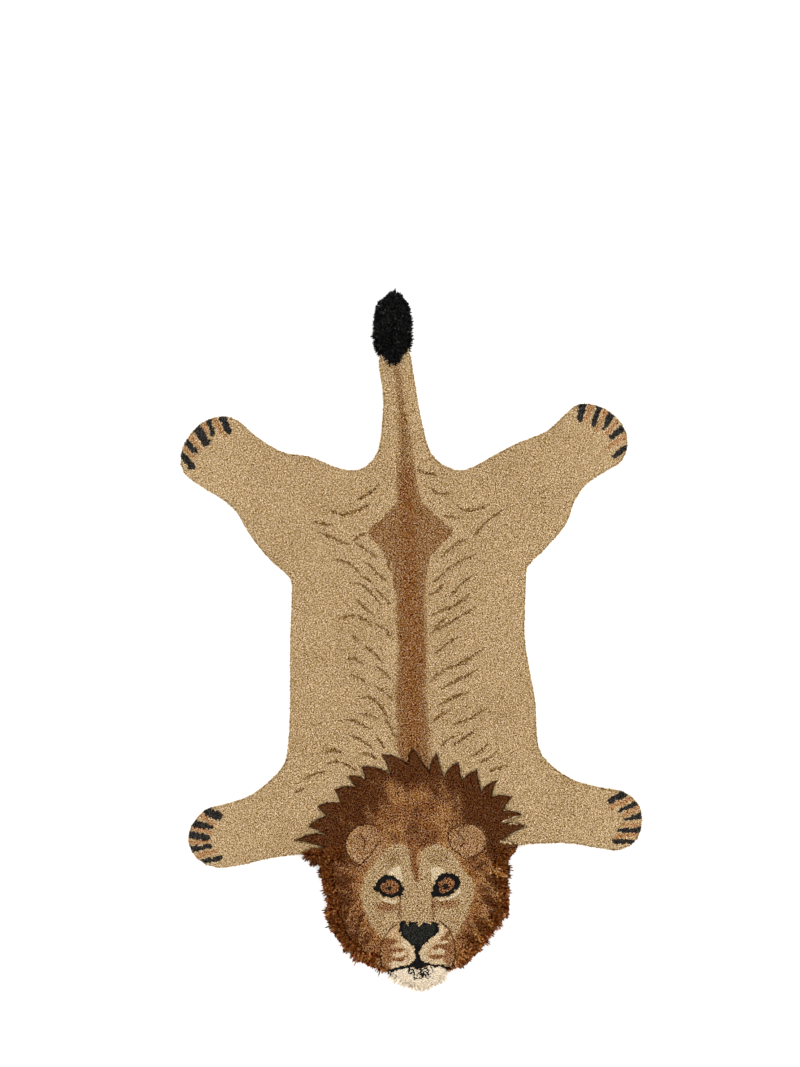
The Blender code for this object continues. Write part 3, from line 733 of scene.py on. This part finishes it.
def fill_map(piece, spots, spread):
    """Gives each strand a square cell of the map, in the order in which the strands lie, and
    spreads its face corners there."""
    wide = math.ceil(math.sqrt(len(spots)))
    cell = np.empty(spots.shape)
    for j, row in enumerate(np.array_split(np.argsort(spots[:, 1], kind="stable"), wide)):
        row = row[np.argsort(spots[row, 0], kind="stable")]
        cell[row, 0], cell[row, 1] = np.arange(len(row)), j
    uv = (cell[:, None] + spread) / (wide + 1)
    piece.data.uv_layers.new(name="OFBake").data.foreach_set("uv", uv.astype(np.float32).ravel())


def strands(name, kind, spots, way, reach, heights, painter, rng, stir=None):
    """A mesh of strands of one kind that start at spots and reach out along way. stir moves
    their last points."""
    count, rings = len(spots), len(kind.rings)
    flat = spots[:, None] + way[:, None] * np.outer(reach, kind.out)[..., None]
    path = np.dstack([flat, np.maximum(np.outer(heights, kind.up) - kind.down, ROOT_UP)])
    if stir is not None:
        path[:, -stir.shape[1] :, :2] += stir
    radius = kind.radius * rng.uniform(*kind.spread, (count, 1)) * np.array(kind.rings)
    paint = painter(np.repeat(spots, rings + 1, axis=0))
    paint.even = np.maximum(paint.even, kind.even)
    # The shades darken each strand towards its root as painted shade and lighten its tip as painted light.
    colour = paint.colours().reshape(count, -1, 3) * np.array(kind.shades)[:, None]
    along = unit(np.gradient(path, axis=1))
    turn = rng.uniform(0, 2 * np.pi, count)
    aim = np.column_stack([np.cos(turn), np.sin(turn), np.zeros(count)])[:, None]
    across = unit(np.cross(along, aim))
    over = np.cross(along, across)
    angle = (np.arange(SIDES) + 0.5) * 2 * np.pi / SIDES
    right, above = np.cos(angle), np.sin(angle)
    ring = across[:, :rings, None] * right[:, None] * FLATNESS
    ring = ring + over[:, :rings, None] * above[:, None]
    ring = path[:, :rings, None] + ring * radius[:, :, None, None]
    verts = np.concatenate([ring.reshape(count, -1, 3), path[:, -1:]], axis=1)
    side = np.array(RING)
    faces = [np.hstack([side, side[:, ::-1] + SIDES]) + k * SIDES for k in range(rings - 1)]
    faces.append(np.column_stack([side + (rings - 1) * SIDES, np.full(SIDES, rings * SIDES)]))
    one = np.concatenate([face.ravel() for face in faces])
    loops = (one + np.arange(count)[:, None] * (rings * SIDES + 1)).ravel()
    totals = np.tile([4] * SIDES * (rings - 1) + [3] * SIDES, count)
    piece = piece_from(name, verts, loops, totals)
    fill_colours(piece, np.repeat(colour, [SIDES] * rings + [1], axis=1))
    out = np.repeat(1 - np.arange(rings) / rings, SIDES) * MAP_REACH
    flat = np.tile(np.column_stack([right, above]), (rings, 1)) * out[:, None]
    fill_map(piece, path[:, 0, :2], (np.vstack([flat, [[0, 0]]]) + 0.5)[one])
    return piece


def cut_tufts(name, layer, spots, pitch, painter, rng):
    """Tufts of cut pile: each is a four-sided cut end of four plies, with a low tip, and narrows
    to its root."""
    count = len(spots)
    turn = rng.uniform(0, 2 * np.pi, (count, 1)) + np.arange(SIDES) * np.pi / 2
    across = END_ACROSS * pitch * np.where(np.arange(SIDES) % 2, 1 / END_LONG, END_LONG)
    across = across * rng.uniform(0.8, 1.2, (count, SIDES))
    rim = spots[:, None] + np.stack([np.cos(turn), np.sin(turn)], 2) * across[..., None]
    tip = spots + rng.uniform(-STIR, STIR, (count, 2))
    plies = (rim + np.roll(rim, -1, axis=1) + tip[:, None]) / 3
    paint = painter(plies.reshape(-1, 2))
    heights = layer.top(spots) - paint.cut.reshape(count, SIDES).mean(1)
    heights += (drift(spots, WAVE_SIZE, 4) - 0.5) * WAVE + rng.uniform(-ROUGH, ROUGH, count)
    flat = np.concatenate([rim, tip[:, None], spots[:, None]], axis=1)
    rims = heights[:, None] - END_DOME * rng.uniform(0.5, 1.4, (count, SIDES))
    roots = np.maximum(heights - TUFT_DEPTH, ROOT_UP)
    verts = np.dstack([flat, np.column_stack([rims, heights, roots])])
    one = [(s, t, SIDES) for s, t in RING] + [(t, s, SIDES + 1) for s, t in RING]
    loops = (np.ravel(one) + np.arange(count)[:, None] * (SIDES + 2)).ravel()
    piece = piece_from(name, verts, loops, np.full(count * len(one), 3))
    # Each ply's colour goes on its part of the cut end and on the side below it, darkened at the rim and
    # towards the root as painted shade and lightened at the tip as painted light.
    painted_light_shares = [(RIM_PAINTED_SHADE, RIM_PAINTED_SHADE, last) for last in (TIP_PAINTED_LIGHT, ROOT_PAINTED_SHADE) for _ in RING]
    colour = np.tile(paint.colours().reshape(count, SIDES, 3), (1, 2, 1))
    fill_colours(piece, np.repeat(colour, 3, axis=1) * np.ravel(painted_light_shares)[:, None], "CORNER")
    # In its cell of the map the cut end is a diamond, and the four sides fill the corners.
    diamond = ((1, 0.5), (0.5, 1), (0, 0.5), (0.5, 0))
    corner = ((1, 1), (0, 1), (0, 0), (1, 0))
    spread = [(diamond[s], diamond[t], (0.5, 0.5)) for s, t in RING]
    spread += [(diamond[t], diamond[s], corner[s]) for s, t in RING]
    fill_map(piece, spots, np.reshape(spread, (-1, 2)))
    return piece


def slab(name, spots, faces, tops, under, closed):
    """Triangles at their tops, with walls down to a flat height and a face there if closed."""
    sides = sides_of(faces)
    known = set(sides)
    rim = np.array([side for side in sides if side[::-1] not in known])
    count = len(spots)
    levels = [np.column_stack([spots, np.broadcast_to(z, count)]) for z in (tops, under)]
    walls = np.hstack([rim[:, ::-1], rim + count])
    flats = [faces, faces[:, ::-1] + count] if closed else [faces]
    loops = np.concatenate([part.ravel() for part in (*flats, walls)])
    totals = np.repeat([3, 4], [len(faces) * len(flats), len(walls)])
    return piece_from(name, np.vstack(levels), loops, totals, soft=not closed)


def bed(name, layer, painter):
    """A quilt under the tips of the tufts, so that no gap shows the backing, in the yarns' colours
    darkened as painted shade of the deep pile.
    """
    spots = grid(layer, BED_PITCH)
    i = np.arange(spots.size // 2).reshape(spots.shape[:2])
    spots = spots.reshape(-1, 2)
    good = layer.holds(spots)
    good[good] = layer.from_edge(spots[good])[0] > BED_CLEAR
    faces = []
    for shift in (0, 1):
        below, above = i[shift:-1:2], i[shift + 1 :: 2]
        a, b, c, d = below[:, :-1], below[:, 1:], above[:, :-1], above[:, 1:]
        pair = ((a, d, c), (a, b, d)) if shift else ((a, b, c), (b, d, c))
        faces += [np.stack(corners, axis=-1).reshape(-1, 3) for corners in pair]
    faces = np.concatenate(faces)
    used, faces = np.unique(faces[good[faces].all(1)], return_inverse=True)
    faces, spots = faces.reshape(-1, 3), spots[used]
    piece = slab(name, spots, faces, layer.top(spots) * BED_SHARE, ROOT_UP, closed=False)
    # The bed's colours are the yarns' darkened: painted shade between the tufts.
    dark = painter(spots).colours() * BED_PAINTED_SHADE
    fill_colours(piece, np.concatenate([dark, dark]))
    return piece


def make_backing(layers):
    """One thin closed sheet of cloth under the whole rug, and its area in square metres."""
    flat, outlines = [], []
    for loop in sum((layer.loops for layer in layers), []):
        spots, ways = evenly(loop, BACKING_STEP)
        outlines.append(list(range(len(flat), len(flat) + len(spots))))
        flat += [Vector(p) for p in (spots + ways * BACKING_GROW).tolist()]
    found = delaunay_2d_cdt(flat, [], outlines, 1, MERGE)
    spots = np.array([tuple(v) for v in found[0]])
    triangles = np.array([f for f in found[2] if len(f) == 3])
    a, b, c = (spots[triangles[:, k]] for k in range(3))
    area = float(np.abs(np.cross(b - a, c - a)).sum()) / 2e6
    return slab("backing", spots, triangles, BACKING_THICK, 0.0, closed=True), area


# ---- Materials ----
def new_material(name, rough):
    """A material and its shader node."""
    material = bpy.data.materials.new(name)
    material.use_nodes = True
    shader = material.node_tree.nodes["Principled BSDF"]
    shader.inputs["Roughness"].default_value = rough
    return material, shader


def node(material, kind, **values):
    """A new shader node with its values, to the left of the others."""
    made = material.node_tree.nodes.new("ShaderNode" + kind)
    made.location.x = -200 * len(material.node_tree.nodes)
    for key, value in values.items():
        if key in made.inputs:
            made.inputs[key].default_value = value
        else:
            setattr(made, key, value)
    return made


def wire(material, *rows):
    """Links sockets: each row has a node, its output, the next node and its input."""
    for giver, out, taker, entry in rows:
        material.node_tree.links.new(giver.outputs[out], taker.inputs[entry])


def yarn_material(name, rough, fleck):
    """Wool: the strand's colour, with its painted shade and light, flecked and furred."""
    material, shader = new_material(name, rough)
    shader.inputs["Specular IOR Level"].default_value = SHEEN
    where = node(material, "TexCoord")
    colour = node(material, "Attribute", attribute_name="yarn")
    stretch = node(material, "Mapping", Scale=FIBRES_PER_METRE)
    fibre = node(material, "TexVoronoi", Scale=1.0)
    tones = {"From Min": 0.1, "From Max": 0.8, "To Min": 1 + fleck, "To Max": 1 - fleck}
    spread = node(material, "MapRange", **tones)
    mixed = node(material, "VectorMath", operation="SCALE")
    bump = node(material, "Bump", Strength=0.9, Distance=0.0003, invert=True)
    sheens = {"To Min": rough - 0.1, "To Max": rough + 0.06}
    gloss = node(material, "MapRange", **sheens)
    wire(
        material,
        (where, "Object", stretch, "Vector"),
        (stretch, "Vector", fibre, "Vector"),
        (fibre, "Distance", spread, "Value"),
        (colour, "Color", mixed, 0),
        (spread, "Result", mixed, "Scale"),
        (mixed, "Vector", shader, "Base Color"),
        (fibre, "Distance", bump, "Height"),
        (bump, "Normal", shader, "Normal"),
        (fibre, "Distance", gloss, "Value"),
        (gloss, "Result", shader, "Roughness"),
    )
    return material


def cloth_material(name):
    """Plain woven cotton, drawn by two crossed waves."""
    material, shader = new_material(name, COTTON_ROUGH)
    where = node(material, "TexCoord")
    weave = node(material, "Math", operation="MAXIMUM")
    for k, axis in enumerate("XY"):
        wave = node(material, "TexWave", bands_direction=axis, Scale=190.0, Distortion=0.6)
        wire(material, (where, "Object", wave, "Vector"), (wave, "Fac", weave, k))
    stain = node(material, "TexNoise", Scale=14.0, Detail=5.0)
    tone = node(material, "Math", operation="MULTIPLY")
    shades = node(material, "ValToRGB")
    dark, light = shades.color_ramp.elements
    dark.color = (*linear(COTTON_DARK), 1)
    light.color = (*linear(COTTON_LIGHT), 1)
    light.position = 0.55
    bump = node(material, "Bump", Strength=0.6, Distance=0.0004)
    wire(
        material,
        (where, "Object", stain, "Vector"),
        (weave, 0, tone, 0),
        (stain, "Fac", tone, 1),
        (tone, 0, shades, "Fac"),
        (shades, "Color", shader, "Base Color"),
        (weave, 0, bump, "Height"),
        (bump, "Normal", shader, "Normal"),
    )
    return material


# ---- Stage: floor, lights and camera ----
def make_stage():
    bpy.ops.mesh.primitive_plane_add(size=FLOOR_SIZE, location=(0, 0, FLOOR_AT))
    floor = bpy.context.object
    floor.name = "floor"
    material, shader = new_material("floor_paper", 0.9)
    shader.inputs["Base Color"].default_value = (0.97, 0.97, 0.97, 1)
    floor.data.materials.append(material)
    for name, spot, size, power in LAMPS:
        light = bpy.data.lights.new(name, "AREA")
        light.shape, light.size, light.energy = "DISK", size, power
        lamp = add(name, light)
        lamp.location = spot
        lamp.rotation_euler = (-Vector(spot)).to_track_quat("-Z", "Y").to_euler()
    bpy.context.scene.world = world = bpy.data.worlds.new("studio")
    world.use_nodes = True
    sky = world.node_tree.nodes["Background"].inputs
    sky["Color"].default_value = (1, 1, 1, 1)
    sky["Strength"].default_value = SKY_POWER
    camera = add("camera", bpy.data.cameras.new("camera"))
    right = (PHOTO_SIZE[0] / 2 - LINE_PIXEL) * MM_PER_PIXEL
    up = (CHIN_PIXEL - PHOTO_SIZE[1] / 2) * MM_PER_PIXEL
    camera.location = (*place(np.array([right, up, 0.0]))[:2], CAMERA_UP)
    camera.data.sensor_width = SENSOR
    camera.data.lens = SENSOR * CAMERA_UP * 1000 / (PHOTO_SIZE[1] * MM_PER_PIXEL)
    camera.data.clip_end = CLIP_END
    bpy.context.scene.camera = camera
    bpy.context.scene.view_settings.view_transform = "Standard"


# ---- The rug's pieces ----
def edge_tufts(name, layer, painter, rng, lean):
    """Tufts that stand along a layer's edge from the backing up and lean outward. In a narrow
    point they stand closer to the edge."""
    line, ways = layer.rim(EDGE_STEP)
    spots = line - ways * EDGE_INSET
    for inset in (EDGE_INSET / 2, EDGE_INSET / 5):
        lost = ~layer.holds(spots)
        spots[lost] = line[lost] - ways[lost] * inset
    keep = layer.holds(spots)
    spots, ways = spots[keep], ways[keep]
    high = np.maximum(layer.top(spots), layer.top(spots - ways * EDGE_INSET)) - EDGE_BELOW
    count = len(spots)
    way = ways * (lean(spots)[:, None] * rng.uniform(0.5, 1.4, (count, 1)))
    heights = high * rng.uniform(0.92, 1.04, count)
    stir = rng.uniform(-STIR, STIR, (count, 2, 2))
    return strands(name, EDGE, spots, way, 1.0, heights, painter, rng, stir)


def pelt_pieces(pelt, head):
    """The pelt's cut pile, in four pieces that share its whole surface, and its edge."""
    rng = np.random.default_rng(1)

    def painter(points):
        return paint_pelt(points, rng)

    def off_head(points):
        return head.from_edge(points)[0] > 4

    def lean(points):
        return 0.5 + (0.9 * drift(points, 5, 8) - 0.1) * off_head(points)

    def lit_edge_painter(points):
        paint = painter(points)
        # Rim tufts away from the head are mixed towards lighter tan: painted light on the pelt's edge.
        paint.blend(0.35 * off_head(points), "tan_light")
        return paint

    spots = sites(pelt, PELT_PITCH, rng)
    group = rng.integers(0, 4, len(spots))
    pile = [
        cut_tufts(f"pelt_pile_{letter}", pelt, spots[group == k], PELT_PITCH, painter, rng)
        for k, letter in enumerate("abcd")
    ]
    edge = edge_tufts("pelt_edge", pelt, lit_edge_painter, rng, lean)
    return [*pile, edge, bed("pelt_bed", pelt, painter)]


def head_pieces(head, pelt):
    """Face and crown in cut pile, and the mane's sides in longer shag that falls outward."""
    rng = np.random.default_rng(2)

    def painter(points):
        return paint_head(points, head, rng)

    def shaggy(points):
        found = (points[:, 1] < MANE_SIDES_BELOW) & ~within(points, smooth(FACE))
        found &= ~within(points, smooth(CHIN))
        for row in EARS:
            found &= oval(points, row) > 1
        rim = 12 + 8 * drift(points[found], 6, 9)
        found[found] = head.from_edge(points[found])[0] < rim
        return found

    def is_free(points):
        """Whether the pelt is out of reach."""
        return pelt.from_edge(points)[0] > 3

    def lean(points):
        return 1.2 * is_free(points) - 0.2

    spots = sites(head, HEAD_PITCH, rng)
    cut = cut_tufts("head_pile", head, spots[~shaggy(spots)], HEAD_PITCH, painter, rng)
    spots = sites(head, SHAG_PITCH, rng)
    shag = mane_shag(head, spots[shaggy(spots)], painter, rng)
    edge = edge_tufts("head_edge", head, painter, rng, lean)
    fringe = head_fringe(head, painter, is_free, rng)
    return [cut, shag, edge, fringe, bed("head_bed", head, painter)]


def head_fringe(layer, painter, is_free, rng):
    """Loose hair past the head's free rim: clumps along the mane, and longer hair on the chin."""
    rim, ways = layer.rim(FRINGE_STEP)
    keep = is_free(rim)
    rim, ways = rim[keep], ways[keep]
    count = len(rim)
    inset = rng.uniform(0.5, 4.5, count)
    spots = rim - ways * inset[:, None]
    past = into(rim, CHIN_HAIR, 12)
    clumps = 0.5 + 6.5 * ramp(drift(rim, 5, 21), 0.35, 0.95)
    reach = inset + np.where(past > 0, past, clumps) * rng.uniform(0.75, 1.05, count)
    way = ways + rng.normal(0, 0.2, (count, 2))
    heights = layer.top(spots) * rng.uniform(0.5, 0.95, count)
    return strands("head_fringe", FRINGE, spots, way, reach, heights, painter, rng)


def mane_shag(layer, spots, painter, rng):
    """Shag that stands in the middle and falls outward towards the edge, but not past it."""
    count = len(spots)
    edge, out = layer.from_edge(spots)
    way = unit(spots - FACE_MIDDLE)
    way = way * 0.7 + out * (1 - ramp(edge, 4, 18))[:, None] * 0.6
    way += rng.normal(0, 0.3, (count, 2))
    fall = 1.8 + 2.5 * (1 - ramp(edge, 3, 30)) + rng.uniform(-0.8, 0.8, count)
    fall = np.minimum(fall, 0.6 + 0.8 * edge)
    heights = layer.top(spots) + rng.uniform(-0.6, 0.6, count)
    return strands("mane_shag", SHAG, spots, way, fall, heights, painter, rng)


def tail_pieces(layer):
    """Long black locks over the tail's end, which lie towards its tip and towards the tail, and
    a close fringe of them all round."""
    rng = np.random.default_rng(3)

    def painter(points):
        paint = Paint(points, "black", rng)
        # Some points turn grey as painted highlights on the black locks.
        paint.blend(rng.random(len(points)) < GREY_GLINTS, "nose")
        return paint

    inner = sites(layer, TAIL_PITCH, rng, clear=0.6)
    rim, ways = layer.rim(TAIL_STEP)
    rim = rim - ways * rng.uniform(0.6, 3.0, (len(rim), 1))
    spots = np.vstack([inner, rim])
    count, inside = len(spots), len(inner)
    edge, out = layer.from_edge(spots)
    low, high = layer.edge[:, 1].min(), layer.edge[:, 1].max()
    along = np.clip((spots[:, 1] - low - 0.3 * (high - low)) / 18, -1, 1)
    way = np.column_stack([np.zeros(count), along * 0.8]) + rng.normal(0, 0.5, (count, 2))
    way[inside:] = way[inside:] * 0.3 + out[inside:]
    reach = rng.uniform(2.5, 6.0, count)
    fringe = TAIL_FRINGE * rng.uniform(0.7, 1.0, len(rim))
    off_tip = np.abs(rim[:, 0] - TAIL_TIP[0])
    at_top = 1 - ramp(TAIL_TIP[1] - rim[:, 1], -6, 6)
    fringe *= 1 - 0.8 * at_top * ramp(off_tip, 2, 16)
    fringe *= 1 + at_top * (off_tip < 1.2) * rng.uniform(0, 1.2, len(rim))
    reach[inside:] = edge[inside:] + fringe
    heights = layer.top(spots)
    heights[inside:] = rng.uniform(3.0, 14.0, len(rim))
    stir = rng.normal(0, 0.6, (count, 3, 2))
    shag = strands("tail_shag", LOCK, spots, way, reach, heights, painter, rng, stir)
    return [shag, bed("tail_bed", layer, painter)]


def main():
    make_stage()
    tan, brown = (yarn_material(n, *WOOL) for n in ("tan_wool", "brown_wool"))
    black = yarn_material("black_wool", *BLACK_WOOL)
    cotton = cloth_material("backing_cotton")
    pelt, head, tuft = (Layer(n) for n in ("pelt", "head_and_mane", "tail_tuft"))
    made = {
        "pelt": (pelt_pieces(pelt, head), tan, "tan_pile"),
        "head_and_mane": (head_pieces(head, pelt), brown, "mane_pile"),
        "tail_tuft": (tail_pieces(tuft), black, "black_shag"),
    }
    for name, (pieces, material, slot) in made.items():
        for piece in pieces:
            piece.data.materials.append(material)
            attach(piece, "root")
            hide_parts(name)
    backing, area = make_backing((pelt, head, tuft))
    backing.data.materials.append(cotton)
    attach(backing, "root")


main()
